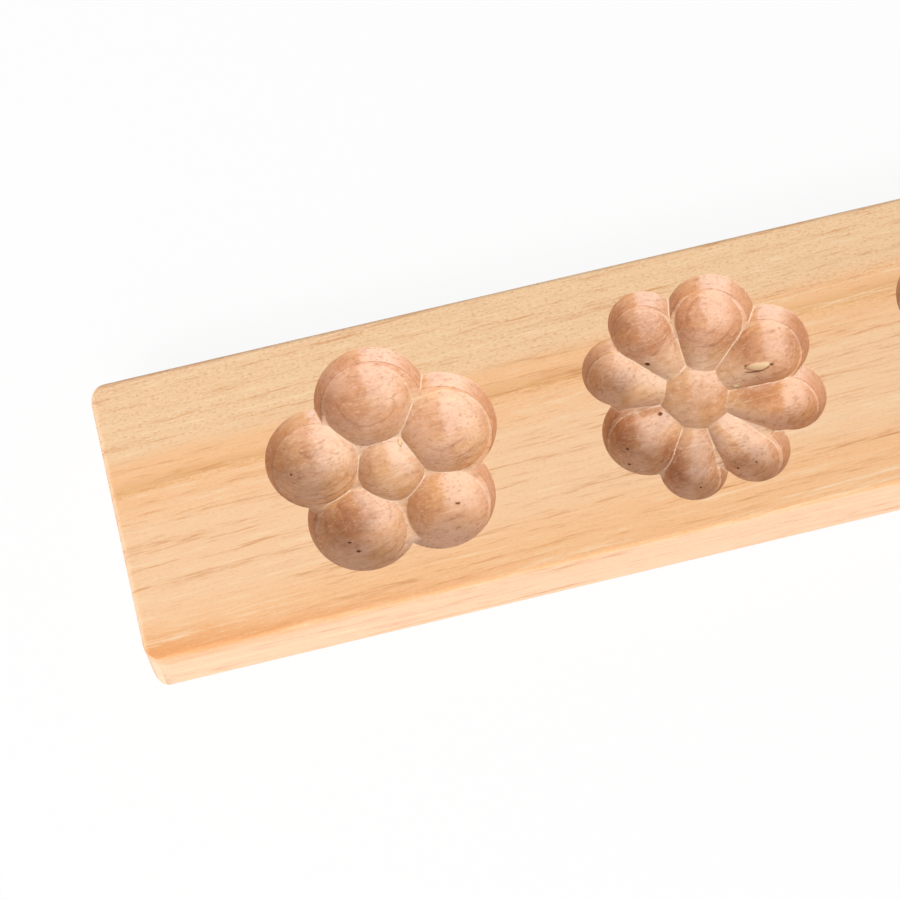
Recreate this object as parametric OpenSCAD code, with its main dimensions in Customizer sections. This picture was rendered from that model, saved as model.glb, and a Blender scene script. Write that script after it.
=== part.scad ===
// Wooden pastry mold: one solid hardwood board with a row of three carved flower hollows.
// The board lies on its flat back, with the hollows opening upwards. The origin is in the
// middle of the back, X runs along the row of flowers, Y across the board and Z up.

/* [Board] */
// Length of the board, along the row of flowers
board_l = 248; // [220:1:300]
// Width of the board, across the row
board_w = 62; // [56:0.5:80]
// Thickness of the board
board_t = 20; // [15:0.5:30]
// Radius of the four upright corners
corner_r = 4.5; // [1.5:0.25:6]
// Radius of the round along the edges of the back
back_r = 3.5; // [1:0.25:5]
// Radius of the small round along the edges of the carved face
face_r = 1.2; // [0.4:0.1:2]

/* [Carving] */
// Distance from the middle of one flower to the middle of the next
flower_pitch = 67; // [56:0.5:80]
// Diameter of the circle that the petals reach on the carved face
flower_d = 50.2; // [42:0.2:53]
// Depth of the pocket that every flower starts as
pocket_depth = 5.5; // [3:0.25:8]
// How far the pocket's wall leans inwards on its way down to the floor
wall_lean = 1; // [0.4:0.1:2]
// Width of the ledge between the foot of the wall and the petal bowls
ledge = 0.4; // [0.3:0.1:1.2]
// Depth of the petal bowls below the pocket's floor
bowl_depth = 4.5; // [2.5:0.25:6]
// How far neighbouring petal bowls run into each other at the floor
bowl_overlap = 0.2; // [0.1:0.05:0.6]

/* [Flowers with round petals] */
// How far the five lobes run into each other on the carved face
five_lobe_overlap = 3.5; // [2:0.1:5]
// Turn of the five-petal flower, in degrees
five_turn = 20; // [0:1:72]
// How far the six lobes run into each other on the carved face
six_lobe_overlap = 2.5; // [1.5:0.1:4]
// Turn of the six-petal flower, in degrees
six_turn = 30; // [0:1:60]
// How far the middle bowl runs into the petal bowls
middle_overlap = 1.1; // [0.6:0.1:2.5]
// Depth of every flower's middle bowl below the pocket's floor
middle_depth = 4; // [3:0.25:6]

/* [Flower with drop petals] */
// How far the eight lobes run into each other on the carved face
eight_lobe_overlap = 1.9; // [1.5:0.1:3]
// Turn of the eight-petal flower, in degrees
eight_turn = 22.5; // [0:0.5:45]
// Radius of the middle bowl at the floor
drop_middle_r = 7.6; // [6:0.1:9]
// Distance of a drop's slim end from the middle of the middle bowl
drop_tip_out = 5.2; // [4:0.1:6]
// Radius of a drop's slim end at the floor
drop_tip_r = 2.6; // [2.2:0.1:3.2]
// Depth of a drop's slim end below the floor
drop_tip_depth = 1; // [0.6:0.1:2.2]

/* [Hidden] */

$fn = 96;

// Each lobe was set out by eye: its turn in degrees, the swell of its radius and its extra reach
five_lobes = [[1, 0.4, -0.4], [0, 0.3, 0.4], [1.5, -0.5, 0.2], [0, 0, 0], [1, 0, -0.2]];
eight_lobes = [[-2, 0.3, 0], [2, 0.9, 0], [5, -0.8, 0.6], [-1, -0.6, 0.2],
               [6, 1.2, 0], [1.2, -1.3, 0.5], [-0.8, -1, -0.3], [0, -0.8, 0.4]];
six_lobes = [[1, 0.2, 0], [-1, -0.3, 0.2], [2, 0, -0.2], [0, 0.3, 0.2], [-1, -0.2, 0], [1, 0, 0.1]];
// Each petal's bowl was cut afterwards, with a turn, a swell and a reach of its own
five_bowls = [[1, 0.3, -0.4], [2.6, 0.3, 0.4], [-0.5, -0.05, 0.3], [-0.9, 0.3, 0.25], [2, -0.4, -0.05]];
eight_bowls = [[-2, 0.2, 0], [2.5, 0.4, 0], [5.5, -0.5, 0.6], [-1, -0.4, 0.2],
               [5, 0.35, 0], [0.8, -1.05, 0.45], [-2, -1, -0.3], [-0.4, -0.5, 0.4]];
six_bowls = [[1, 0.15, 0], [-1, -0.2, 0.2], [2, 0, -0.2], [0, 0.2, 0.2], [-1, -0.15, 0], [1, 0, 0.1]];
// The middle bowls were cut by eye too, a little off the middle of their flowers
five_middle = [0.3, -0.3];
eight_middle = [-1.4, -0.2];
six_middle = [0.2, 0];

// Angle at which a rounded edge meets the flat faces beside it
edge_break = 10;
edge_set = cos(edge_break);
// How far the shaping cuts run past the wood
overrun = 2;
// How far above the pocket's floor the bowls are cut from
bowl_lip = 0.2;
// How much slimmer a drop's neck is than the cone that would just touch both its ends
neck_ease = 0.15;

flower_r = flower_d / 2;
bowl_reach = flower_r - wall_lean - ledge;
floor_z = board_t - pocket_depth;
wall_flare = wall_lean / pocket_depth;

// Radius of n even circles that reach the same distance and run into each other by overlap
function ring_r(n, reach, overlap) = (reach * sin(180 / n) + overlap) / (1 + sin(180 / n));

// Radius of a ball that shows as a circle of rim_r at the floor and goes down by depth
function ball_r(rim_r, depth) = (rim_r * rim_r + depth * depth) / (2 * depth);

// A rectangle standing on y = 0 with round corners, left open past its straight sides
module eased_section(w, h, low_r, high_r) {
    for (side = [-1, 1]) {
        translate([side * (w / 2 - low_r * edge_set), low_r * edge_set]) circle(low_r);
        translate([side * (w / 2 - high_r * edge_set), h - high_r * edge_set]) circle(high_r);
    }
    low_w = w - 2 * low_r * edge_set;
    high_w = w - 2 * high_r * edge_set;
    translate([-low_w / 2, -overrun]) square([low_w, h / 2 + overrun]);
    translate([-high_w / 2, h / 2]) square([high_w, h / 2 + overrun]);
    translate([-w / 2 - overrun, low_r * edge_set])
        square([w + 2 * overrun, h - (low_r + high_r) * edge_set]);
}

// The plain board before carving: sawn square, then rounded at its corners, sides and ends
module blank() {
    intersection() {
        translate([-board_l / 2, -board_w / 2, 0]) cube([board_l, board_w, board_t]);
        translate([0, -board_w / 2, -overrun]) linear_extrude(board_t + 2 * overrun)
            eased_section(board_l, board_w, corner_r, corner_r);
        translate([-board_l / 2 - overrun, 0, 0]) rotate([90, 0, 90])
            linear_extrude(board_l + 2 * overrun) eased_section(board_w, board_t, back_r, face_r);
        translate([0, board_w / 2 + overrun, 0]) rotate([90, 0, 0])
            linear_extrude(board_w + 2 * overrun) eased_section(board_l, board_t, back_r, face_r);
    }
}

// One lobe of a pocket: a round cut whose wall leans in towards the floor
module lobe(r) {
    cylinder(h = pocket_depth + overrun, r1 = r - wall_lean, r2 = r + overrun * wall_flare);
}

// One round bowl, at a distance out from the middle of the flower
module bowl(out, rim_r, depth) {
    r = ball_r(rim_r, depth);
    translate([out, 0, r - depth]) sphere(r);
}

// The neck that draws a bowl out into a drop: a cone from its ball to a small one near the middle
module neck(out, rim_r, depth) {
    r = ball_r(rim_r, depth);
    tip_r = ball_r(drop_tip_r, drop_tip_depth);
    run = out - drop_tip_out;
    rise = (r - depth) - (tip_r - drop_tip_depth);
    length = norm([run, rise]);
    half_angle = asin((r - tip_r) / length);
    slim_r = tip_r - neck_ease;
    wide_r = r - neck_ease;
    translate([drop_tip_out, 0, tip_r - drop_tip_depth])
        rotate([0, 90 - atan2(rise, run), 0]) translate([0, 0, -slim_r * sin(half_angle)])
            cylinder(h = length - (wide_r - slim_r) * sin(half_angle),
                     r1 = slim_r * cos(half_angle), r2 = wide_r * cos(half_angle));
}

// Keeps what lies under the pocket's floor
module under_floor() {
    intersection() {
        translate([-flower_d, -flower_d, -floor_z])
            cube([2 * flower_d, 2 * flower_d, floor_z + bowl_lip]);
        union() children();
    }
}

// A whole flower hollow around the Z axis: a pocket with a lobe for each petal, and bowls sunk in
// its floor, one in the middle and one, or one drop that points at the middle one, for each petal
module flower(lobes, bowls, middle, lobe_overlap, turn, drops = false) {
    n = len(lobes);
    lobe_r = ring_r(n, flower_r, lobe_overlap);
    bowl_r = ring_r(n, bowl_reach, bowl_overlap);
    middle_r = drops ? drop_middle_r : bowl_reach - 2 * bowl_r + middle_overlap;
    translate([0, 0, floor_z]) {
        cylinder(h = pocket_depth + overrun, r = flower_r - lobe_r);
        for (i = [0 : n - 1]) {
            r = lobe_r + lobes[i][1];
            rotate(turn + i * 360 / n + lobes[i][0])
                translate([flower_r + lobes[i][2] - r, 0, 0]) lobe(r);
        }
        translate(middle) under_floor() bowl(0, middle_r, middle_depth);
        for (i = [0 : n - 1]) {
            rim_r = bowl_r + bowls[i][1];
            depth = bowl_depth * rim_r / bowl_r;
            angle = turn + i * 360 / n + bowls[i][0];
            away = (bowl_reach + bowls[i][2] - rim_r) * [cos(angle), sin(angle)] - middle;
            translate(middle) rotate(atan2(away[1], away[0])) under_floor() {
                bowl(norm(away), rim_r, depth);
                if (drops) neck(norm(away), rim_r, depth);
            }
        }
    }
}

// The finished mold: one piece of wood
module mold_board() {
    color("#e6bd92") difference() {
        blank();
        translate([-flower_pitch, 0, 0])
            flower(five_lobes, five_bowls, five_middle, five_lobe_overlap, five_turn);
        flower(eight_lobes, eight_bowls, eight_middle, eight_lobe_overlap, eight_turn, drops = true);
        translate([flower_pitch, 0, 0])
            flower(six_lobes, six_bowls, six_middle, six_lobe_overlap, six_turn);
    }
}

mold_board();
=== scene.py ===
# %% [markdown]
# # A carved pastry mold
# The object is one plank of pale hardwood with three flowers cut into its face. Dough is pressed
# into a flower, struck off level and knocked out. There is nothing to assemble, so the lesson is
# about one shape and one material: a blank with eased edges, hollows cut by simple tools, and a
# wood that is solid all through, so that the same growth layers show on the face and in the cuts.

# %% Load the frame
import math
import bpy
import numpy as np
from mathutils import Matrix, Quaternion, Vector


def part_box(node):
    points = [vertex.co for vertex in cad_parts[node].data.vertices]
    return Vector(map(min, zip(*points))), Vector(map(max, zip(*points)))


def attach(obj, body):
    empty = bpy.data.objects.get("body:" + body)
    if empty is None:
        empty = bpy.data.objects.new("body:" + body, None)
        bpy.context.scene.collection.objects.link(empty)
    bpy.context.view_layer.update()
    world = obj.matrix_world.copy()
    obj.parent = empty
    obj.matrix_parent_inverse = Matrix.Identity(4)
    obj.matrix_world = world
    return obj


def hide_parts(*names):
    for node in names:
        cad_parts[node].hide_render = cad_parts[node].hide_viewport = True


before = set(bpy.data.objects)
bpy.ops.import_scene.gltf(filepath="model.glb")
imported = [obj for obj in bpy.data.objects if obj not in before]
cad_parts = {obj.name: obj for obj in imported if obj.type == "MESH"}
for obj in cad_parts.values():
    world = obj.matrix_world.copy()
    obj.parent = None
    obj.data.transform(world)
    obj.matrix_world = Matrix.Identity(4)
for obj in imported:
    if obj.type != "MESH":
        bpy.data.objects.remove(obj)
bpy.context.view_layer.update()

MM = 0.001
BOARD_LOW, BOARD_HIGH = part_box("mold_board")
BOARD_SIZE = BOARD_HIGH - BOARD_LOW
print("board, mm:", [round(side / MM, 1) for side in BOARD_SIZE])

# %% [markdown]
# ## The camera
# The board is seen from above its near edge, turned a little, and it runs out of the picture on the
# right. A camera could be placed by eye, but the edges of a board of known size fix it: where it
# stands, which point of the face it looks at, how far it is rolled, and how long its lens is.

# %% Set up the camera
CAMERA_PLACE = Vector((-89.06, -214.62, 587.01)) * MM
CAMERA_AIM = Vector((-54.18, -1.29, 20.0)) * MM
CAMERA_ROLL = math.radians(-4.606)
LENS_MM = 118.19
SENSOR_MM = 36

camera_data = bpy.data.cameras.new("camera")
camera_data.sensor_fit = "HORIZONTAL"
camera_data.sensor_width = SENSOR_MM
camera_data.lens = LENS_MM
camera = bpy.data.objects.new("camera", camera_data)
camera.location = CAMERA_PLACE
camera.rotation_mode = "QUATERNION"
level_view = (CAMERA_AIM - CAMERA_PLACE).to_track_quat("-Z", "Y")
camera.rotation_quaternion = level_view @ Quaternion((0, 0, 1), CAMERA_ROLL)
bpy.context.scene.collection.objects.link(camera)
bpy.context.scene.camera = camera
bpy.context.scene.view_settings.view_transform = "Standard"
print("camera looks from", round((CAMERA_AIM - CAMERA_PLACE).length, 3), "m")

# %% [markdown]
# ## Shader maths
# A node tree full of Math nodes is hard to read, so one small class stands for a number that changes
# over a surface. Adding or multiplying two of them adds the Math node. Every other node comes from
# one method, which sets the node's options first and then its sockets.

# %% A class for a number on a surface, and one for a tree of nodes
class Value:
    """A socket's number. Sums and products of Values add Math nodes to its tree."""

    def __init__(self, nodes, socket):
        self.nodes = nodes
        self.socket = socket

    def __add__(self, other):
        return self.nodes.math("ADD", self, other)

    def __sub__(self, other):
        return self.nodes.math("SUBTRACT", self, other)

    def __rsub__(self, other):
        return self.nodes.math("SUBTRACT", other, self)

    def __mul__(self, other):
        return self.nodes.math("MULTIPLY", self, other)

    def __truediv__(self, other):
        return self.nodes.math("DIVIDE", self, other)

    def __pow__(self, other):
        return self.nodes.math("POWER", self, other)

    def __abs__(self):
        return self.nodes.math("ABSOLUTE", self)

    __radd__ = __add__
    __rmul__ = __mul__

    def fraction(self):
        return self.nodes.math("FRACT", self)

    def rise(self, start, end):
        """0 up to start, 1 from end on, and a smooth step between them."""
        settings = {"interpolation_type": "SMOOTHSTEP"}
        sockets = {"Value": self, "From Min": start, "From Max": end}
        return Value(self.nodes, self.nodes.add("ShaderNodeMapRange", settings, sockets).outputs[0])


class Nodes:
    """The nodes of a material or a world, empty to start with."""

    MIX_FACTOR, MIX_FIRST, MIX_SECOND, MIX_RESULT = 0, 6, 7, 2

    def __init__(self, owner):
        owner.use_nodes = True
        self.owner = owner
        self.tree = owner.node_tree
        self.tree.nodes.clear()

    def add(self, kind, settings=None, sockets=None):
        """Adds a node, sets its options or its ramp's stops, then fills or links its sockets."""
        node = self.tree.nodes.new(kind)
        for name, setting in (settings or {}).items():
            if name == "stops":
                self.set_stops(node.color_ramp, setting)
            else:
                setattr(node, name, setting)
        for name, value in (sockets or {}).items():
            if isinstance(value, Value):
                value = value.socket
            if isinstance(value, bpy.types.NodeSocket):
                self.tree.links.new(value, node.inputs[name])
            else:
                node.inputs[name].default_value = value
        return node

    def set_stops(self, ramp, stops):
        while len(ramp.elements) < len(stops):
            ramp.elements.new(1.0)
        for element, (position, colour) in zip(ramp.elements, stops):
            element.position = position
            element.color = colour

    def math(self, operation, *values):
        node = self.add("ShaderNodeMath", {"operation": operation}, dict(enumerate(values)))
        return Value(self, node.outputs[0])

    def split(self, vector):
        node = self.add("ShaderNodeSeparateXYZ", None, {0: vector})
        return [Value(self, output) for output in node.outputs]

    def join(self, x, y, z):
        return self.add("ShaderNodeCombineXYZ", None, {0: x, 1: y, 2: z}).outputs[0]

    def stretch(self, vector, factors):
        settings = {"operation": "MULTIPLY"}
        return self.add("ShaderNodeVectorMath", settings, {0: vector, 1: factors}).outputs[0]

    def scale(self, vector, factor):
        settings = {"operation": "SCALE"}
        return self.add("ShaderNodeVectorMath", settings, {0: vector, "Scale": factor}).outputs[0]

    def noise(self, vector, per_mm, detail=2.0, roughness=0.5):
        """Soft noise from 0 to 1, with its own count of waves per millimetre along X, Y and Z."""
        sockets = {"Vector": self.stretch(vector, per_mm), "Scale": 1.0, "Detail": detail}
        sockets["Roughness"] = roughness
        return Value(self, self.add("ShaderNodeTexNoise", None, sockets).outputs[0])

    def mix(self, first, second, factor):
        sockets = {self.MIX_FACTOR: factor, self.MIX_FIRST: first, self.MIX_SECOND: second}
        return self.add("ShaderNodeMix", {"data_type": "RGBA"}, sockets).outputs[self.MIX_RESULT]


def paint(red, green, blue):
    """A colour picked on a 0 to 255 scale, as the shader wants it."""
    def linear(level):
        share = level / 255
        return share / 12.92 if share <= 0.04045 else ((share + 0.055) / 1.055) ** 2.4
    return (linear(red), linear(green), linear(blue), 1.0)


print("shader helpers ready")

# %% [markdown]
# ## Light and floor
# A kitchen tool for sale is lit by large soft sources over a white table. One lamp on the left does
# the modelling, so that the left wall of each hollow is in shade. A wide lamp in front lifts the near
# edge, and a white world fills the rest. The floor is white to the camera but still takes the shadow.

# %% Set up the lamps, the world and the floor
LIT_POINT = Vector((-50, 0, 15)) * MM
LAMP_DISTANCE = 2.0
KEY_WATTS = 26.5
FRONT_WATTS = 2.5
FILL_LEVEL = 0.5
FLOOR_GLOW = 0.9
FLOOR_SIDE = 6.0


def soft_lamp(name, azimuth, elevation, size, watts):
    """A square lamp aimed at the board. Azimuth 0 stands in front, at -Y, and 90 on the left, at -X."""
    turn, rise = math.radians(azimuth), math.radians(elevation)
    flat = math.cos(rise)
    towards = Vector((-math.sin(turn) * flat, -math.cos(turn) * flat, math.sin(rise)))
    data = bpy.data.lights.new(name, "AREA")
    data.size = size
    data.energy = watts
    lamp = bpy.data.objects.new(name, data)
    lamp.location = LIT_POINT + towards * LAMP_DISTANCE
    lamp.rotation_mode = "QUATERNION"
    lamp.rotation_quaternion = towards.to_track_quat("Z", "Y")
    bpy.context.scene.collection.objects.link(lamp)


def seen_directly(nodes):
    """1 for rays that come from the camera, or mirrored or bent straight from it."""
    path = nodes.add("ShaderNodeLightPath")
    rays = ("Is Camera Ray", "Is Glossy Ray", "Is Transmission Ray")
    camera_ray, glossy_ray, bent_ray = (Value(nodes, path.outputs[name]) for name in rays)
    return nodes.math("MAXIMUM", nodes.math("MAXIMUM", camera_ray, glossy_ray), bent_ray)


def white_world():
    sky = Nodes(bpy.data.worlds.new("white_studio"))
    level = FILL_LEVEL + seen_directly(sky) * (1 - FILL_LEVEL)
    background = sky.add("ShaderNodeBackground", None, {"Color": (1, 1, 1, 1), "Strength": level})
    sky.add("ShaderNodeOutputWorld", None, {"Surface": background.outputs[0]})
    return sky.owner


def white_table():
    white = Nodes(bpy.data.materials.new("white_table"))
    diffuse = white.add("ShaderNodeBsdfDiffuse", None, {"Color": (0.95, 0.95, 0.95, 1)})
    glow = white.add("ShaderNodeEmission", None, {"Color": (1, 1, 1, 1), "Strength": 1.0})
    sockets = {0: seen_directly(white) * FLOOR_GLOW, 1: diffuse.outputs[0], 2: glow.outputs[0]}
    surface = white.add("ShaderNodeMixShader", None, sockets)
    white.add("ShaderNodeOutputMaterial", None, {"Surface": surface.outputs[0]})
    return white.owner


def deselect_all():
    bpy.ops.object.select_all(action="DESELECT")


soft_lamp("key_lamp", 42, 42, 0.8, KEY_WATTS)
soft_lamp("front_lamp", 8, 22, 1.1, FRONT_WATTS)
bpy.context.scene.world = white_world()
deselect_all()
bpy.ops.mesh.primitive_plane_add(size=FLOOR_SIDE, location=(0, 0, BOARD_LOW.z))
floor = bpy.context.object
floor.name = "floor"
floor.data.materials.append(white_table())

# %% [markdown]
# ## The blank
# The plank was sawn square, then its edges were eased: a small round at the four upright corners, a
# larger one along the back and a fine one along the face. One bevel over all the edges would run into
# itself where the rounds meet. Three bars, each rounded along one direction only, are simpler, and
# the wood that all three share is the blank.

# %% Make the blank
CORNER_R = 4.5 * MM
BACK_R = 3.5 * MM
FACE_R = 1.2 * MM
ROUND_STEPS = 8
OVERRUN = 2.0 * MM


def make_active(piece):
    deselect_all()
    piece.select_set(True)
    bpy.context.view_layer.objects.active = piece


def round_edges(piece, axis, radius, chosen):
    """Bevels the edges along one axis whose middle passes the chosen test."""
    make_active(piece)
    bpy.ops.object.mode_set(mode="EDIT")
    bpy.ops.mesh.select_mode(type="EDGE")
    bpy.ops.mesh.select_all(action="DESELECT")
    bpy.ops.object.mode_set(mode="OBJECT")
    corners = piece.data.vertices
    for edge in piece.data.edges:
        start, end = (corners[index].co for index in edge.vertices)
        run = end - start
        edge.select = abs(run[axis]) > 0.99 * run.length and chosen((start + end) / 2)
    bpy.ops.object.mode_set(mode="EDIT")
    bpy.ops.mesh.bevel(offset=radius, segments=ROUND_STEPS, affect="EDGES")
    bpy.ops.object.mode_set(mode="OBJECT")


def bar(name, axis):
    """A square bar of the board's size that runs past it along one axis."""
    deselect_all()
    bpy.ops.mesh.primitive_cube_add(size=1, location=(BOARD_LOW + BOARD_HIGH) / 2)
    piece = bpy.context.object
    piece.name = name
    piece.scale = [side + (2 * OVERRUN if i == axis else 0) for i, side in enumerate(BOARD_SIZE)]
    bpy.ops.object.transform_apply(location=True, rotation=True, scale=True)
    return piece


def combine(piece, other, operation):
    """Applies a boolean and removes the other piece."""
    make_active(piece)
    boolean = piece.modifiers.new(operation.lower(), "BOOLEAN")
    boolean.operation = operation
    boolean.solver = "MANIFOLD"
    boolean.object = other
    bpy.ops.object.modifier_apply(modifier=boolean.name)
    bpy.data.objects.remove(other)


def make_blank():
    middle_z = (BOARD_LOW.z + BOARD_HIGH.z) / 2
    upright = bar("carved_board", 2)
    round_edges(upright, 2, CORNER_R, lambda point: True)
    for axis in (0, 1):
        lying = bar("eased_bar", axis)
        round_edges(lying, axis, BACK_R, lambda point: point.z < middle_z)
        round_edges(lying, axis, FACE_R, lambda point: point.z > middle_z)
        combine(upright, lying, "INTERSECT")
    return upright


board = make_blank()
print("blank:", len(board.data.polygons), "faces")

# %% [markdown]
# ## The flower hollows
# Each flower was cut in two goes. A straight cutter with a slight taper sank a pocket with one lobe
# for each petal. A ball cutter then sank a round bowl in the floor for each petal and one for the
# middle, so that sharp ridges stand between them. In the middle flower the ball also ran in towards
# the centre and drew each bowl out into a drop. The same tools, as cones and balls, cut the blank.

# %% Set out the flowers
FLOWER_PITCH = 67.0 * MM
FLOWER_R = 25.1 * MM
POCKET_DEPTH = 5.5 * MM
WALL_LEAN = 1.0 * MM
LEDGE = 0.4 * MM
BOWL_DEPTH = 4.5 * MM
BOWL_OVERLAP = 0.2 * MM
BOWL_LIP = 0.2 * MM
MIDDLE_OVERLAP = 1.1 * MM
MIDDLE_DEPTH = 4.0 * MM
DROP_MIDDLE_R = 7.6 * MM
DROP_TIP_OUT = 5.2 * MM
DROP_TIP_R = 2.6 * MM
DROP_TIP_DEPTH = 1.0 * MM
NECK_EASE = 0.15 * MM
FLOOR_Z = BOARD_HIGH.z - POCKET_DEPTH
BOWL_REACH = FLOWER_R - WALL_LEAN - LEDGE

# Each lobe of a pocket: its turn in degrees, the swell of its radius and its extra reach in millimetres
FIVE_LOBES = [(1, 0.4, -0.4), (0, 0.3, 0.4), (1.5, -0.5, 0.2), (0, 0, 0), (1, 0, -0.2)]
EIGHT_LOBES = [(-2, 0.3, 0), (2, 0.9, 0), (5, -0.8, 0.6), (-1, -0.6, 0.2),
               (6, 1.2, 0), (1.2, -1.3, 0.5), (-0.8, -1, -0.3), (0, -0.8, 0.4)]
SIX_LOBES = [(1, 0.2, 0), (-1, -0.3, 0.2), (2, 0, -0.2), (0, 0.3, 0.2), (-1, -0.2, 0), (1, 0, 0.1)]
# Each petal's bowl, in the same way
FIVE_BOWLS = [(1, 0.3, -0.4), (2.6, 0.3, 0.4), (-0.5, -0.05, 0.3), (-0.9, 0.3, 0.25), (2, -0.4, -0.05)]
EIGHT_BOWLS = [(-2, 0.2, 0), (2.5, 0.4, 0), (5.5, -0.5, 0.6), (-1, -0.4, 0.2),
               (5, 0.35, 0), (0.8, -1.05, 0.45), (-2, -1, -0.3), (-0.4, -0.5, 0.4)]
SIX_BOWLS = [(1, 0.15, 0), (-1, -0.2, 0.2), (2, 0, -0.2), (0, 0.2, 0.2), (-1, -0.15, 0), (1, 0, 0.1)]

# Each flower's middle, then the place of its middle bowl, which the carver set a little to one side
FLOWERS = [
    {"x": -FLOWER_PITCH, "lobes": FIVE_LOBES, "bowls": FIVE_BOWLS, "middle": (0.3, -0.3),
     "lobe_overlap": 3.5 * MM, "turn": 20, "drops": False},
    {"x": 0.0, "lobes": EIGHT_LOBES, "bowls": EIGHT_BOWLS, "middle": (-1.4, -0.2),
     "lobe_overlap": 1.9 * MM, "turn": 22.5, "drops": True},
    {"x": FLOWER_PITCH, "lobes": SIX_LOBES, "bowls": SIX_BOWLS, "middle": (0.2, 0.0),
     "lobe_overlap": 2.5 * MM, "turn": 30, "drops": False},
]


def ring_radius(count, reach, overlap):
    """Radius of even circles round a middle that reach a distance and overlap by an amount."""
    share = math.sin(math.pi / count)
    return (reach * share + overlap) / (1 + share)


def ball_radius(rim_r, depth):
    """Radius of a ball that shows a circle of rim_r at the floor and goes down by depth."""
    return (rim_r ** 2 + depth ** 2) / (2 * depth)


print("flowers with", [len(flower["lobes"]) for flower in FLOWERS], "petals")

# %% [markdown]
# The wood could be cut with one ball or cone after the other, but the worn surface that comes later
# is easier to make on the flower alone. So each flower is first built as a solid of its own, the way
# a lump of dough pressed into it would look. The balls only work below the pocket's floor, so each is
# cut off flat just above it with bisect.

# %% Make the tools
TOOL_SIDES = 96
BALL_RINGS = 48
TOOL_RISE = 0.6 * MM


def trim_above_floor(tool):
    make_active(tool)
    bpy.ops.object.mode_set(mode="EDIT")
    bpy.ops.mesh.select_all(action="SELECT")
    bpy.ops.mesh.bisect(plane_co=(0, 0, FLOOR_Z + BOWL_LIP), plane_no=(0, 0, 1),
                        use_fill=True, clear_outer=True)
    bpy.ops.object.mode_set(mode="OBJECT")
    return tool


def taper_tool(place, radius):
    """One lobe of the pocket: a cone that is slimmer by the wall's lean at the floor."""
    height = POCKET_DEPTH + TOOL_RISE
    deselect_all()
    bpy.ops.mesh.primitive_cone_add(
        vertices=TOOL_SIDES, radius1=radius - WALL_LEAN,
        radius2=radius + TOOL_RISE * WALL_LEAN / POCKET_DEPTH,
        depth=height, location=place + Vector((0, 0, height / 2)))
    tool = bpy.context.object
    bpy.ops.object.transform_apply(location=True, rotation=True, scale=True)
    return tool


def ball_tool(place, rim_r, depth):
    """A bowl in the pocket's floor."""
    radius = ball_radius(rim_r, depth)
    deselect_all()
    bpy.ops.mesh.primitive_uv_sphere_add(
        segments=TOOL_SIDES, ring_count=BALL_RINGS, radius=radius,
        location=place + Vector((0, 0, radius - depth)))
    tool = bpy.context.object
    bpy.ops.object.transform_apply(location=True, rotation=True, scale=True)
    return trim_above_floor(tool)


def neck_tool(middle, place, rim_r, depth):
    """The cone that draws a bowl out into a drop, towards the middle bowl."""
    radius = ball_radius(rim_r, depth)
    tip_r = ball_radius(DROP_TIP_R, DROP_TIP_DEPTH)
    outwards = (place - middle).normalized()
    tip = middle + outwards * DROP_TIP_OUT + Vector((0, 0, tip_r - DROP_TIP_DEPTH))
    ball = place + Vector((0, 0, radius - depth))
    axis = (ball - tip).normalized()
    lean = (radius - tip_r) / (ball - tip).length
    flat = math.sqrt(1 - lean ** 2)
    slim_r, wide_r = tip_r - NECK_EASE, radius - NECK_EASE
    start = tip - axis * slim_r * lean
    end = ball - axis * wide_r * lean
    deselect_all()
    bpy.ops.mesh.primitive_cone_add(
        vertices=TOOL_SIDES, radius1=slim_r * flat, radius2=wide_r * flat,
        depth=(end - start).length, location=(start + end) / 2,
        rotation=axis.to_track_quat("Z", "Y").to_euler())
    tool = bpy.context.object
    bpy.ops.object.transform_apply(location=True, rotation=True, scale=True)
    return trim_above_floor(tool)


print("tools with", TOOL_SIDES, "sides")

# %% [markdown]
# A ring of lobes or bowls is set out with one rule: even places round the middle, then the small turn,
# swell and reach that the carver gave each one. The tools of a flower are made one after the other and
# joined to the first. In the middle flower a cone from each ball to a small one makes the drop.

# %% Build the flowers as solids
def set_out(flower, rows, ring_r, ring_reach):
    """Place on the floor and radius of each lobe or bowl of a ring, in metres."""
    for index, (turn, swell, reach) in enumerate(rows):
        angle = math.radians(flower["turn"] + index * 360 / len(rows) + turn)
        radius = ring_r + swell * MM
        out = ring_reach + reach * MM - radius
        yield Vector((flower["x"] + out * math.cos(angle), out * math.sin(angle), FLOOR_Z)), radius


def flower_tools(flower):
    """Makes the tools of a flower one at a time: pocket, lobes, middle bowl, petal bowls."""
    count = len(flower["lobes"])
    lobe_r = ring_radius(count, FLOWER_R, flower["lobe_overlap"])
    bowl_r = ring_radius(count, BOWL_REACH, BOWL_OVERLAP)
    centre = Vector((flower["x"], 0, FLOOR_Z))
    yield taper_tool(centre, FLOWER_R - lobe_r + WALL_LEAN)
    for place, radius in set_out(flower, flower["lobes"], lobe_r, FLOWER_R):
        yield taper_tool(place, radius)
    middle = centre + Vector((*flower["middle"], 0)) * MM
    middle_r = DROP_MIDDLE_R if flower["drops"] else BOWL_REACH - 2 * bowl_r + MIDDLE_OVERLAP
    yield ball_tool(middle, middle_r, MIDDLE_DEPTH)
    for place, rim_r in set_out(flower, flower["bowls"], bowl_r, BOWL_REACH):
        depth = BOWL_DEPTH * rim_r / bowl_r
        yield ball_tool(place, rim_r, depth)
        if flower["drops"]:
            yield neck_tool(middle, place, rim_r, depth)


def flower_solid(flower):
    tools = flower_tools(flower)
    solid = next(tools)
    for tool in tools:
        combine(solid, tool, "UNION")
    return solid


for flower in FLOWERS:
    flower["solid"] = flower_solid(flower)
    print("flower at", round(flower["x"] / MM), "mm:", len(flower["solid"].data.polygons), "faces")

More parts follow.
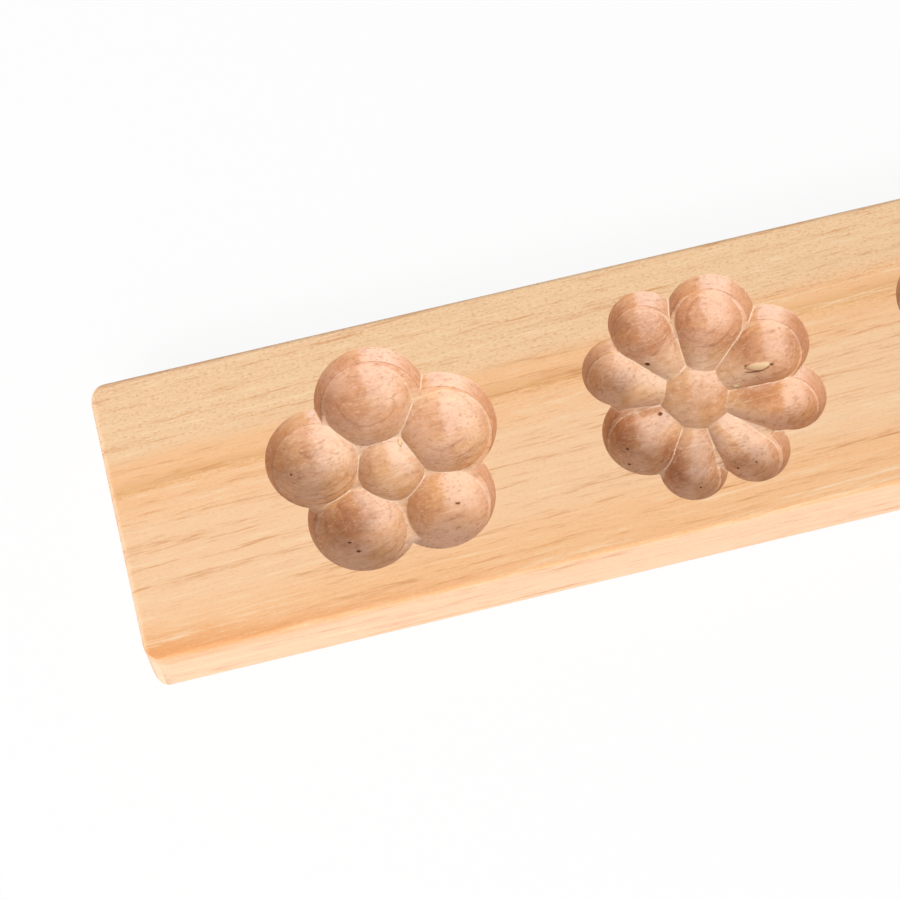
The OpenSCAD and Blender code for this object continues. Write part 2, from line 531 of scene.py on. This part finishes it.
# %% [markdown]
# ## Chips
# The cutter lifted a long splinter out of one petal, bored into a pore in another and nicked the thin
# wood beside the middle bowls. Such scars could be drawn in the material, but they are holes, and
# they should catch the light as holes do. A ray from below finds the bottom of the flower at each
# place, and a flattened ball is joined on there.

# %% Add the chips
# Each chip: its place across the board, its half sizes in millimetres, its turn in degrees, its colour
CHIPS = [
    {"at": (13.6, 4.8), "half": (2.9, 1.0, 0.5), "turn": -4, "pale": True},
    {"at": (12.7, 3.6), "half": (2.3, 0.20, 0.25), "turn": -4, "pale": False},
    {"at": (16.7, 4.7), "half": (0.5, 0.35, 0.3), "turn": -40, "pale": False},
    {"at": (-8.9, 10.3), "half": (0.6, 0.45, 0.9), "turn": 30, "pale": False},
    {"at": (7.6, 0.5), "half": (0.8, 0.45, 0.5), "turn": 0, "pale": True},
    {"at": (-9.3, -1.6), "half": (0.5, 0.35, 0.4), "turn": 20, "pale": False},
    {"at": (-63.5, 5.4), "half": (0.4, 0.7, 0.5), "turn": 8, "pale": True},
    {"at": (-77.1, -14.7), "half": (0.5, 0.25, 0.4), "turn": 0, "pale": False},
    {"at": (-78.5, -12.4), "half": (0.45, 0.2, 0.3), "turn": 0, "pale": False},
    {"at": (-87.0, 4.7), "half": (0.3, 0.2, 0.3), "turn": 0, "pale": False},
    {"at": (-54.8, -9.6), "half": (0.6, 0.2, 0.3), "turn": -30, "pale": False},
    {"at": (-17.6, -6.5), "half": (0.3, 0.25, 0.3), "turn": 0, "pale": False},
    {"at": (-18.2, -10.1), "half": (0.35, 0.25, 0.3), "turn": 20, "pale": False},
    {"at": (-5.2, -18.7), "half": (0.25, 0.2, 0.3), "turn": 0, "pale": False},
    {"at": (3.4, -16.6), "half": (0.3, 0.22, 0.3), "turn": 0, "pale": False},
    {"at": (7.5, -16.0), "half": (0.25, 0.2, 0.3), "turn": 0, "pale": False},
]
CHIP_SIDES = 24


def add_chip(solid, chip):
    """Joins a flattened ball to the flower, and notes where its middle is."""
    below = Vector((chip["at"][0] * MM, chip["at"][1] * MM, 0))
    bpy.context.view_layer.update()
    _, place, normal, _ = solid.ray_cast(below, Vector((0, 0, 1)))
    grain = Quaternion((0, 0, 1), math.radians(chip["turn"])) @ Vector((1, 0, 0))
    side = normal.cross(grain).normalized()
    axes = Matrix((side.cross(normal), side, normal)).transposed()
    chip["place"] = place / MM
    deselect_all()
    bpy.ops.mesh.primitive_uv_sphere_add(segments=CHIP_SIDES, ring_count=CHIP_SIDES // 2, radius=MM,
                                         location=place, rotation=axes.to_euler(), scale=chip["half"])
    ball = bpy.context.object
    bpy.ops.object.transform_apply(location=True, rotation=True, scale=True)
    combine(solid, ball, "UNION")


for chip in CHIPS:
    nearest = min(FLOWERS, key=lambda flower: abs(flower["x"] / MM - chip["at"][0]))
    add_chip(nearest["solid"], chip)
print("chips at heights, mm:", [round(chip["place"].z, 1) for chip in CHIPS])

# %% [markdown]
# ## Worn hollows
# Booleans leave edges like a razor's, and no ridge of wood stays like that. A voxel remesh turns each
# flower into one even net, a little smoothing takes the edge off every ridge and crease, and a soft
# noise pushes the net about by hundredths of a millimetre, as a cutter in wood does. Decimate then
# takes the triangles that the smooth places don't need, and the worn flower is cut out of the blank.

# %% Wear the flowers and cut them out of the blank
VOXEL = 0.15 * MM
FLOWER_TRIANGLES = 62_000


def apply_modifier(piece, name, kind, **settings):
    make_active(piece)
    modifier = piece.modifiers.new(name, kind)
    for setting, value in settings.items():
        setattr(modifier, setting, value)
    bpy.ops.object.modifier_apply(modifier=name)


def cloud(name, size):
    texture = bpy.data.textures.new(name, "CLOUDS")
    texture.noise_scale = size
    texture.noise_depth = 2
    return texture


def count_triangles(piece):
    return sum(len(face.vertices) - 2 for face in piece.data.polygons)


CHATTER = cloud("chatter", 2.2 * MM)


def wear(solid):
    apply_modifier(solid, "net", "REMESH", mode="VOXEL", voxel_size=VOXEL)
    apply_modifier(solid, "soften", "SMOOTH", factor=0.5, iterations=2)
    apply_modifier(solid, "chatter", "DISPLACE", texture=CHATTER, strength=0.05 * MM, mid_level=0.5,
                   texture_coords="LOCAL")
    apply_modifier(solid, "thin", "DECIMATE", ratio=FLOWER_TRIANGLES / count_triangles(solid))


for flower in FLOWERS:
    wear(flower["solid"])
    combine(board, flower.pop("solid"), "DIFFERENCE")
print("carved board:", count_triangles(board), "triangles")

# %% [markdown]
# The face meets the walls at a crisp arris, so edges sharper than a limit stay sharp and the rest is
# shaded smooth. Weighted Normal then lets the large flat faces decide, so that the rounds beside them
# don't bend their shading.

# %% Shade the board
SHARP_ANGLE = math.radians(40)
make_active(board)
bpy.ops.object.shade_smooth_by_angle(angle=SHARP_ANGLE)
apply_modifier(board, "flat_faces", "WEIGHTED_NORMAL", keep_sharp=True)
print("board shaded, sharp past", round(math.degrees(SHARP_ANGLE)), "degrees")

# %% [markdown]
# The ridges are painted pale, partly for their fuzz and partly as a painted highlight, and the creases
# are painted dark as shade. Both follow the shape, and Blender can read that from the mesh: Dirty Vertex
# Colors writes a grey for every corner, about 0.5 on an even surface, more on a ridge and less in a
# crease. The material picks it up by its name.

# %% Note the ridges and creases
RIDGE_CREASE_ATTRIBUTE = "edge_wear"


def note_ridges_and_creases(piece):
    make_active(piece)
    bpy.ops.geometry.color_attribute_add(name=RIDGE_CREASE_ATTRIBUTE, domain="CORNER", data_type="FLOAT_COLOR",
                                         color=(1, 1, 1, 1))
    bpy.ops.object.mode_set(mode="VERTEX_PAINT")
    bpy.ops.paint.vertex_color_dirt(blur_strength=0.5, blur_iterations=1, normalize=False)
    bpy.ops.object.mode_set(mode="OBJECT")
    greys = np.empty(len(piece.data.loops) * 4, np.float32)
    piece.data.color_attributes[RIDGE_CREASE_ATTRIBUTE].data.foreach_get("color", greys)
    return greys.reshape(-1, 4)[:, 0]


greys = note_ridges_and_creases(board)
# The spread of the ridge and crease grey, which drives the painted highlight and shade.
print("wear:", [round(float(level), 3) for level in np.percentile(greys, (0.1, 1, 5, 50, 95, 99, 99.9))])

# %% [markdown]
# ## The wood: growth layers
# The plank is a pale, fine-pored hardwood. A tree grows in layers, so the colour of a plank depends on
# the distance from the heart of the tree, which lay below this board and behind it. Streaks could be
# painted on the face alone, but then the hollows would be wrong: a bowl that cuts down through the
# layers shows them as rings, like the lines on a map. One function of that distance gives both.

# %% Lay out the growth layers
HEART_Y = 60.0
HEART_Z = -90.0
GRAIN_SLOPE = 0.03
RING_MM = 2.1
LAYER_FROM, LAYER_TO = 105.0, 143.0

TAN = paint(248, 206, 160)
PALE_ORANGE = paint(251, 196, 144)
PALE_PINK = paint(252, 206, 161)
HONEY = paint(240, 185, 128)
ROSE_TAN = paint(238, 192, 152)


def layer_stop(layer, colour):
    return ((layer - LAYER_FROM) / (LAYER_TO - LAYER_FROM), colour)


LAYER_STOPS = [
    layer_stop(105.0, ROSE_TAN),
    layer_stop(112.0, ROSE_TAN),
    layer_stop(114.0, TAN),
    layer_stop(118.0, TAN),
    layer_stop(119.0, PALE_ORANGE),
    layer_stop(119.9, PALE_ORANGE),
    layer_stop(120.4, HONEY),
    layer_stop(120.9, HONEY),
    layer_stop(121.4, PALE_ORANGE),
    layer_stop(125.5, PALE_PINK),
    layer_stop(133.5, PALE_PINK),
    layer_stop(137.5, PALE_ORANGE),
]


def growth_layer(wood, along):
    """Distance from the heart of the tree in millimetres, a little uneven."""
    _, y, z = wood.split(along)
    drift = wood.noise(along, (0.010, 0.05, 0.05), 2.0) - 0.5
    ripple = wood.noise(along, (0.05, 0.18, 0.18), 2.0) - 0.5
    return ((y - HEART_Y) ** 2 + (z - HEART_Z) ** 2) ** 0.5 + drift * 1.0 + ripple * 0.8


def layer_colour(wood, layer):
    share = (layer - LAYER_FROM) / (LAYER_TO - LAYER_FROM)
    return wood.add("ShaderNodeValToRGB", {"stops": LAYER_STOPS}, {"Fac": share}).outputs["Color"]


def ring_lines(wood, layer, along):
    """Thin lines, one a year, that come and go along the grain."""
    wander = wood.noise(along, (0.06, 0.16, 0.16), 2.0) * 2.4
    phase = ((layer + wander) / RING_MM).fraction()
    line = phase.rise(0.66, 0.95) * (1 - phase.rise(0.95, 1.0))
    return line * wood.noise(along, (0.07, 0.11, 0.11), 1.0).rise(0.40, 0.60)


print("layers from", LAYER_FROM, "to", LAYER_TO, "mm, a ring every", RING_MM, "mm")

# %% [markdown]
# ## The wood: what the cutter leaves
# A turning cutter meets the fibres along the grain in two quarters of a bowl and leaves them smooth
# and dark there; on slopes that face away from the key lamp that dark is partly painted shade. In the
# other two it meets them end on, and they tear and look pale. The torn quarter that faces the key lamp
# is painted palest, partly tear-out and partly painted highlight, and the other one about half as pale.
# A map of that could be painted by hand, but the surface's own normal already tells which quarter a
# place is in.

# %% Tell the hollows and their quarters apart
TOP_MM = BOARD_HIGH.z / MM
HALF_LENGTH_MM = BOARD_SIZE.x / 2 / MM
HALF_WIDTH_MM = BOARD_SIZE.y / 2 / MM


def hollow_share(x, y, z):
    """1 inside the hollows, 0 on the face, the sides and the back."""
    clear_of_sides = (HALF_WIDTH_MM - abs(y)).rise(2.5, 4.0)
    clear_of_ends = (HALF_LENGTH_MM - abs(x)).rise(2.5, 4.0)
    return (TOP_MM - z).rise(0.05, 0.35) * clear_of_sides * clear_of_ends * z.rise(3.0, 5.0)


def torn_and_lamp_lit_share(wood, place, normal):
    """1 in the torn quarter facing the key lamp, a painted highlight; 0.55 in the other torn one; 0 if
    smooth.
    """
    normal_x, normal_y, _ = wood.split(normal)
    ragged = wood.noise(place, (0.30, 0.45, 0.45), 5.0, 0.7) - 0.5
    left = (normal_x + ragged * 0.55).rise(-0.12, 0.08)
    near = (normal_y + ragged * 0.60).rise(-0.30, 0.30)
    return left * near * 0.55 + (1 - left) * (1 - near)


print("hollows lie inside", HALF_LENGTH_MM, "by", HALF_WIDTH_MM, "mm")

# %% [markdown]
# ## The wood: fibres, specks and pores
# Close to, the face shows long fine fibres, short flecks and a few pores. In the far strip and in
# the hollows the fibres are cut across and show as pale and dark specks. All of them are noise that
# is drawn out along the grain by different amounts, so only the counts per millimetre differ.

# %% Draw the fibres, specks and pores
# The colour of the pores, and also the painted shade inside the dark chips.
PORE_AND_HOLE_SHADE_BROWN = paint(96, 58, 38)


def fibres(wood, along):
    """Long fine fibres and shorter flecks, from about -1 to 1."""
    long_ones = wood.noise(along, (0.022, 0.55, 0.55), 4.0, 0.6) - 0.5
    short_ones = wood.noise(along, (0.15, 2.2, 2.2), 2.0, 0.6) - 0.5
    return long_ones * 1.8 + short_ones * 1.3


def specks(wood, along):
    """Cut fibre ends: pale ones near 1, dark ones near -1, and 0 between them."""
    level = wood.noise(along, (1.1, 2.3, 2.3), 2.0, 0.6)
    return level.rise(0.53, 0.68) - (1 - level.rise(0.32, 0.47))


def pores(wood, along):
    cells = wood.add("ShaderNodeTexVoronoi", {"feature": "F1"},
                     {"Vector": wood.stretch(along, (0.08, 0.17, 0.17)), "Scale": 1.0})
    size = wood.noise(along, (0.15, 0.15, 0.15), 1.0) * 0.20 - 0.07
    return 1 - (Value(wood, cells.outputs["Distance"]) - size).rise(0.0, 0.025)


print("fibres, specks and pores ready")

# %% [markdown]
# ## The wood: put together
# Each thing that happened to the surface is mixed over the growth layers in the order in which it
# happened, with one short function for each. They all ask the same of a place: where it is, which way
# it faces, whether it lies in a hollow and what its grain is. That is worked out once and kept together.

# %% Read a place on the wood
class Spot:
    """A place on the board, in millimetres, with the way it faces and its grain."""

    def __init__(self, wood):
        where = wood.add("ShaderNodeTexCoord")
        self.place = wood.scale(where.outputs["Object"], 1 / MM)
        self.normal = where.outputs["Normal"]
        self.x, self.y, self.z = wood.split(self.place)
        self.normal_x, self.normal_y, self.normal_z = wood.split(self.normal)
        self.along = wood.join(self.x, self.y - GRAIN_SLOPE * self.x, self.z)
        self.hollow = hollow_share(self.x, self.y, self.z)
        self.outside = 1 - self.hollow
        self.steep = 1 - self.normal_z.rise(0.25, 0.6)
        self.end_face = self.outside * abs(self.normal_x).rise(0.75, 0.95)
        self.layer = growth_layer(wood, self.along)
        self.fibre = fibres(wood, self.along)
        self.speck = specks(wood, self.along)


wood = Nodes(bpy.data.materials.new("bare_hardwood"))
spot = Spot(wood)
print("nodes that read a place:", len(wood.tree.nodes))

# %% [markdown]
# The outside was sawn, sanded and handled. The sides and ends are coloured paler than the face, the ends
# show the rings cut across, and the near edge has darkened where hands and oil reach it.

# %% Colour the outside
RING_BROWN = paint(176, 116, 80)
SIDE_PALE = paint(246, 207, 174)
AMBER = paint(241, 161, 95)


def grown_wood(wood, spot):
    """The growth layers, with ring lines that show in the hollows' gentle slopes and on the ends."""
    shown = 0.05 + 0.75 * spot.hollow * (1 - spot.steep) + 0.40 * spot.end_face
    lines = ring_lines(wood, spot.layer, spot.along) * shown
    layers = layer_colour(wood, spot.layer + spot.fibre * 1.2 + spot.speck * 0.35)
    return wood.mix(layers, RING_BROWN, lines)


def amber_edge(x, y, z):
    """1 along the near edge, where hands and oil have darkened it, most of all at the left end."""
    reach_in = 4.5 + 4.0 * (1 - x.rise(-120.0, -95.0))
    on_face = ((reach_in - HALF_WIDTH_MM - y) / reach_in).rise(0.0, 0.9)
    reach_down = 0.8 + 3.6 * (1 - x.rise(-115.0, -50.0))
    on_side = (z - TOP_MM + reach_down).rise(0.0, 0.8)
    strength = 0.12 + 0.66 * (1 - x.rise(-135.0, -20.0))
    return on_face * on_side * strength * (0.45 + 0.55 * (z - TOP_MM + 1.2).rise(0.0, 1.2))


def pale_sides_and_amber_edge(wood, colour, spot):
    on_sides = abs(spot.normal_y).rise(0.5, 0.9) * 0.7
    on_ends = abs(spot.normal_x).rise(0.15, 0.6) * (0.8 - 0.5 * spot.end_face)
    near_edge = amber_edge(spot.x, spot.y + spot.fibre * 0.8, spot.z)
    # The sides and ends are coloured paler than the face.
    colour = wood.mix(colour, SIDE_PALE, spot.outside * on_sides)
    colour = wood.mix(colour, SIDE_PALE, spot.outside * on_ends)
    return wood.mix(colour, AMBER, spot.outside * near_edge)


colour = pale_sides_and_amber_edge(wood, grown_wood(wood, spot), spot)
print("nodes with the outside:", len(wood.tree.nodes))

# %% [markdown]
# In the hollows the cutter rubbed the wood brown where it ran along the fibres and left it pale where it
# tore them. The brown is stronger deep down and on slopes that face away from the key lamp, which is
# painted shade, and the pale is strongest on the torn quarter facing the lamp, a painted highlight.
# Walls that cut straight across the grain show brown end grain. Two tints of the wood itself, a golden
# and a rosy one, wander through all of it.

# %% Colour the hollows
DEEP_BROWN = paint(196, 144, 108)
RUBBED_AND_SHADED_BROWN = paint(200, 140, 98)
GOLDEN = paint(232, 172, 112)
ROSE_GREY = paint(226, 178, 150)
TORN_AND_LIT_PALE = paint(252, 223, 203)
END_BROWN = paint(206, 148, 106)


def cut_hollows(wood, colour, spot):
    torn_and_lit = torn_and_lamp_lit_share(wood, spot.place, spot.normal)
    stain = wood.noise(spot.along, (0.10, 0.22, 0.22), 3.0, 0.6).rise(0.42, 0.66)
    deep = (TOP_MM - spot.z).rise(5.0, 10.0)
    # Brown where the cutter ran along the fibres, and more on slopes facing away from the key lamp:
    # painted shade.
    rubbed_and_shaded = (1 - torn_and_lit) * (0.15 + 0.40 * spot.normal_x.rise(0.1, 0.7))
    tint = wood.noise(spot.along, (0.07, 0.19, 0.19), 3.0, 0.6)
    left_walls = spot.normal_x.rise(0.5, 0.95) * 0.35
    right_walls = (0 - spot.normal_x).rise(0.5, 0.95) * 0.75
    end_grain = (left_walls + right_walls) * spot.hollow
    # Pale where the cutter tore, palest on the side facing the key lamp: partly tear-out, partly painted
    # highlight.
    pale = torn_and_lit * (1 - end_grain) * (0.48 + 0.38 * spot.steep)
    # Browner all through the hollows with random stains, and more towards the bottom as painted shade.
    colour = wood.mix(colour, DEEP_BROWN, spot.hollow * (0.10 + deep * 0.25 + stain * 0.30))
    colour = wood.mix(colour, RUBBED_AND_SHADED_BROWN, spot.hollow * rubbed_and_shaded)
    colour = wood.mix(colour, GOLDEN, spot.hollow * tint.rise(0.50, 0.66) * 0.45)
    colour = wood.mix(colour, ROSE_GREY, spot.hollow * (1 - tint.rise(0.34, 0.50)) * 0.45)
    colour = wood.mix(colour, TORN_AND_LIT_PALE, spot.hollow * pale)
    return wood.mix(colour, END_BROWN, end_grain * 0.8)


colour = cut_hollows(wood, colour, spot)
print("nodes with the hollows:", len(wood.tree.nodes))

# %% [markdown]
# No rule tells where the carver let the cutter linger, so those places are listed one by one: an ellipse
# each, brown where it rubbed and pale where it tore. The rose-pale ones in the first flower are partly
# painted light, lifting places that the key lamp leaves in shade. Noise frays their borders. A finer
# mottle of the same colours goes over all the hollows.

# %% Add the patches and the mottle
BURNISHED = paint(166, 104, 66)
RUSSET = paint(168, 92, 40)
OCHRE = paint(196, 118, 60)
ROSE_TONE_AND_PAINTED_LIGHT = paint(248, 210, 182)

# Where the cutter lingered, or where it hurried: the place across the board, half sizes, and how much
PATCHES = [
    {"at": (-77.5, -8.5), "half": (7.5, 6.5), "colour": BURNISHED, "share": 0.60},
    {"at": (-72.5, 15.5), "half": (6.0, 6.5), "colour": BURNISHED, "share": 0.32},
    {"at": (-62.5, -9.0), "half": (4.5, 6.0), "colour": BURNISHED, "share": 0.28},
    {"at": (-17.5, -2.5), "half": (6.0, 5.5), "colour": RUSSET, "share": 0.60},
    {"at": (-9.0, -12.0), "half": (3.4, 7.5), "colour": RUSSET, "share": 0.62},
    {"at": (-4.0, -12.5), "half": (4.5, 6.5), "colour": BURNISHED, "share": 0.36},
    {"at": (-7.8, 17.0), "half": (6.0, 6.0), "colour": BURNISHED, "share": 0.48},
    {"at": (11.8, -1.8), "half": (5.5, 3.8), "colour": RUSSET, "share": 0.55},
    {"at": (13.5, 8.8), "half": (8.0, 5.0), "colour": RUSSET, "share": 0.32},
    {"at": (0.5, 0.8), "half": (7.5, 6.5), "colour": OCHRE, "share": 0.38},
    {"at": (22.5, 8.0), "half": (3.5, 5.0), "colour": BURNISHED, "share": 0.40},
    {"at": (-67.5, 17.2), "half": (4.5, 5.5), "colour": BURNISHED, "share": 0.24},
    {"at": (-44.5, 7.8), "half": (3.0, 5.0), "colour": BURNISHED, "share": 0.12},
    {"at": (-68.5, -1.0), "half": (5.5, 5.5), "colour": GOLDEN, "share": 0.40},
    # The first three rose-pale patches are partly painted light, lifting places that the key lamp leaves
    # in shade.
    {"at": (-58.5, -17.8), "half": (8.0, 5.0), "colour": ROSE_TONE_AND_PAINTED_LIGHT, "share": 1.0},
    {"at": (-59.5, 7.5), "half": (4.5, 4.5), "colour": ROSE_TONE_AND_PAINTED_LIGHT, "share": 0.40},
    {"at": (-74.5, 22.0), "half": (5.5, 4.0), "colour": ROSE_TONE_AND_PAINTED_LIGHT, "share": 0.45},
    {"at": (-16.8, 10.8), "half": (4.5, 3.5), "colour": ROSE_TONE_AND_PAINTED_LIGHT, "share": 0.38},
]


def patches(wood, colour, place, hollow):
    """Brown where the cutter rubbed and pale where it tore, with soft ragged borders."""
    x, y, _ = wood.split(place)
    ragged = wood.noise(place, (0.30, 0.55, 0.55), 4.0, 0.65) - 0.5
    for patch in PATCHES:
        along_patch = (x - patch["at"][0]) / patch["half"][0]
        across_patch = (y - patch["at"][1]) / patch["half"][1]
        away = (along_patch ** 2 + across_patch ** 2) ** 0.5 + ragged * 1.2
        colour = wood.mix(colour, patch["colour"], (1 - away.rise(0.2, 1.1)) * hollow * patch["share"])
    return colour


def mottled(wood, colour, spot):
    mottle = wood.noise(spot.along, (0.6, 1.0, 1.0), 3.0, 0.65) - 0.5
    colour = wood.mix(colour, BURNISHED, spot.hollow * (0 - mottle).rise(0.02, 0.25) * 0.50)
    return wood.mix(colour, ROSE_TONE_AND_PAINTED_LIGHT, spot.hollow * mottle.rise(0.02, 0.25) * 0.42)


colour = mottled(wood, patches(wood, colour, spot.place, spot.hollow), spot)
print(len(PATCHES), "patches, nodes so far:", len(wood.tree.nodes))

# %% [markdown]
# Cut fibre ends speckle the far strip, the ends and some of the hollows. Ridges are painted pale,
# unevenly, partly for fuzz and partly as a painted highlight, and the creases get painted shade. The
# chips come last, since they broke through all of this.

# %% Add the specks, the painted ridge highlights and crease shade, and the chips
SPECK_PALE = paint(255, 230, 198)
SPECK_DARK = paint(206, 146, 102)
RIDGE_FUZZ_AND_HIGHLIGHT = paint(255, 226, 198)
PAINTED_SHADE_BROWN = paint(150, 96, 62)
CHIP_PALE = paint(246, 224, 180)


def speckled(wood, colour, spot):
    rough_patch = wood.noise(spot.place, (0.10, 0.10, 0.10), 2.0).rise(0.42, 0.60)
    far_strip = spot.y.rise(12.0, 17.0) * spot.outside
    strength = 0.15 + 0.25 * (far_strip + spot.end_face) + spot.hollow * (0.34 * rough_patch - 0.02)
    pale = spot.speck.rise(0.0, 1.0) * (1 - 0.5 * spot.hollow)
    dark = (0 - spot.speck).rise(0.0, 1.0)
    colour = wood.mix(colour, SPECK_PALE, pale * strength)
    return wood.mix(colour, SPECK_DARK, dark * strength)


def pale_ridges_and_crease_shade(wood, colour, spot):
    curvature_node = wood.add("ShaderNodeAttribute", {"attribute_name": RIDGE_CREASE_ATTRIBUTE})
    level = Value(wood, curvature_node.outputs["Fac"])
    ridge = level.rise(0.508, 0.545)
    crease = 1 - level.rise(0.45, 0.49)
    fuzz = wood.noise(spot.place, (1.5, 1.5, 1.5), 3.0, 0.7).rise(0.35, 0.60)
    # Ridges painted pale, partly fuzz and partly painted highlight; creases painted dark as shade.
    colour = wood.mix(colour, RIDGE_FUZZ_AND_HIGHLIGHT, ridge * spot.hollow * (0.50 + 0.50 * fuzz))
    return wood.mix(colour, PAINTED_SHADE_BROWN, crease * spot.hollow * 0.70)


def chip_marks(wood, colour, place):
    """Fresh wood shows in the pale chips, and shade in the dark ones and under the near edge of each."""
    x, y, _ = wood.split(place)
    for chip in CHIPS:
        along_chip = (x - chip["place"].x) / chip["half"][0]
        across_chip = (y - chip["place"].y) / chip["half"][1]
        away = along_chip ** 2 + abs(across_chip)
        inside = 1 - away.rise(0.8, 1.0)
        near_edge = away.rise(0.7, 1.0) * (1 - away.rise(1.0, 1.5)) * (1 - across_chip.rise(-0.5, 0.2))
        colour = wood.mix(colour, CHIP_PALE if chip["pale"] else PORE_AND_HOLE_SHADE_BROWN, inside * 0.85)
        colour = wood.mix(colour, PAINTED_SHADE_BROWN, near_edge * 0.8)
    return colour


colour = pale_ridges_and_crease_shade(wood, speckled(wood, colour, spot), spot)
colour = chip_marks(wood, colour, spot.place)
print(len(CHIPS), "chips, nodes so far:", len(wood.tree.nodes))

# %% [markdown]
# Pores and fibres run through everything, so they are mixed in over all the rest. They also raise or
# sink the surface a little, which a bump follows. The cut wood in the hollows is duller than the sanded
# face, so its roughness is higher.

# %% Finish the wood and give it to the board
FIBRE_DARK = paint(214, 148, 92)
FIBRE_PALE = paint(255, 222, 182)
BUMP_DEPTH = 0.06 * MM
BUMP_STRENGTH = 0.6
SHEEN = 0.35


def fibrous(wood, colour, spot, pore):
    streaky = 1.0 - 0.55 * spot.hollow
    colour = wood.mix(colour, PORE_AND_HOLE_SHADE_BROWN, pore)
    colour = wood.mix(colour, FIBRE_DARK, (0 - spot.fibre).rise(0.03, 0.7) * streaky)
    return wood.mix(colour, FIBRE_PALE, spot.fibre.rise(0.03, 0.7) * streaky)


pore = pores(wood, spot.along) * (0.10 + 0.25 * (spot.hollow + spot.end_face))
colour = fibrous(wood, colour, spot, pore)
height = spot.fibre * 0.35 + spot.speck * (0.15 + 0.25 * spot.hollow) - pore
bump = wood.add("ShaderNodeBump", None,
                {"Height": height, "Distance": BUMP_DEPTH, "Strength": BUMP_STRENGTH})
roughness = 0.56 + 0.14 * spot.hollow + spot.fibre * 0.08
surface = wood.add("ShaderNodeBsdfPrincipled", None, {
    "Base Color": colour, "Roughness": roughness, "Normal": bump.outputs[0],
    "Specular IOR Level": SHEEN})
wood.add("ShaderNodeOutputMaterial", None, {"Surface": surface.outputs[0]})
board.data.materials.clear()
board.data.materials.append(wood.owner)
print("wood nodes:", len(wood.tree.nodes))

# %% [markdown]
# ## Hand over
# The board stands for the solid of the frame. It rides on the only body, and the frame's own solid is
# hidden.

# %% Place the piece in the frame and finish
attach(board, "root")
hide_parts("mold_board")
